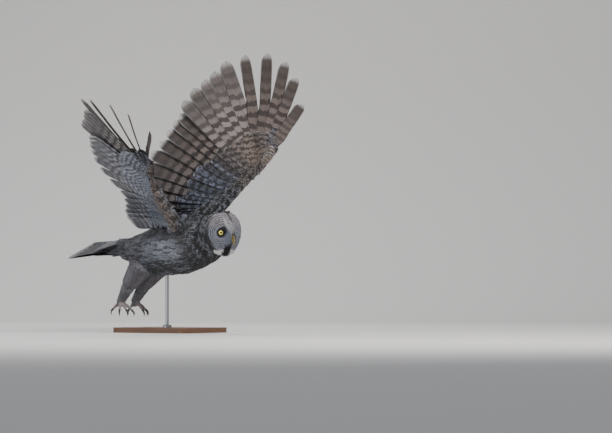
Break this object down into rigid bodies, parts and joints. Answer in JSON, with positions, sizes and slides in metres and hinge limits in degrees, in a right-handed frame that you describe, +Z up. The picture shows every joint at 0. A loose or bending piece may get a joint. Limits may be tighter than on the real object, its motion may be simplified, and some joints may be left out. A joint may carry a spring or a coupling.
{
  "type": "great grey owl model",
  "caption": "Life-size still great grey owl taking off, wings raised and legs hanging, on a flat base with one rod.",
  "frame": {"origin": "middle of the underside of the stand's base, where it meets the floor", "axes": "+X the way the bird flies, +Y to the bird's left, +Z up"},
  "size_m": [0.7787, 0.9718, 0.9723],
  "materials": {
    "body_feathers": "soft mottled grey-brown feathers, matt",
    "wing_feathers": "grey-brown flight feathers with dark bars, matt",
    "face_feathers": "pale grey disc feathers with fine dark rings, matt",
    "leg_feathers": "short pale feathers, matt",
    "eye": "yellow iris and black pupil under a clear glossy surface",
    "bill": "horn, satin yellow",
    "claw": "horn, dark and slightly glossy",
    "stand_wood": "dark stained wood, satin",
    "stand_metal": "brushed steel rod"
  },
  "bodies": {
    "root": {"torso": "body_feathers", "neck": "body_feathers", "head": "face_feathers", "eye_left": "eye", "eye_right": "eye", "bill_upper": "bill", "bill_lower": "bill", "tail": "wing_feathers", "wing_left_hand": "wing_feathers", "wing_left_arm": "wing_feathers", "thigh_left": "body_feathers", "shank_left": "leg_feathers", "foot_left": "leg_feathers", "claw_left_1": "claw", "claw_left_2": "claw", "claw_left_3": "claw", "claw_left_4": "claw", "wing_right_hand": "wing_feathers", "wing_right_arm": "wing_feathers", "thigh_right": "body_feathers", "shank_right": "leg_feathers", "foot_right": "leg_feathers", "claw_right_1": "claw", "claw_right_2": "claw", "claw_right_3": "claw", "claw_right_4": "claw", "stand_base": "stand_wood", "stand_rod": "stand_metal"}
  },
  "joints": []
}
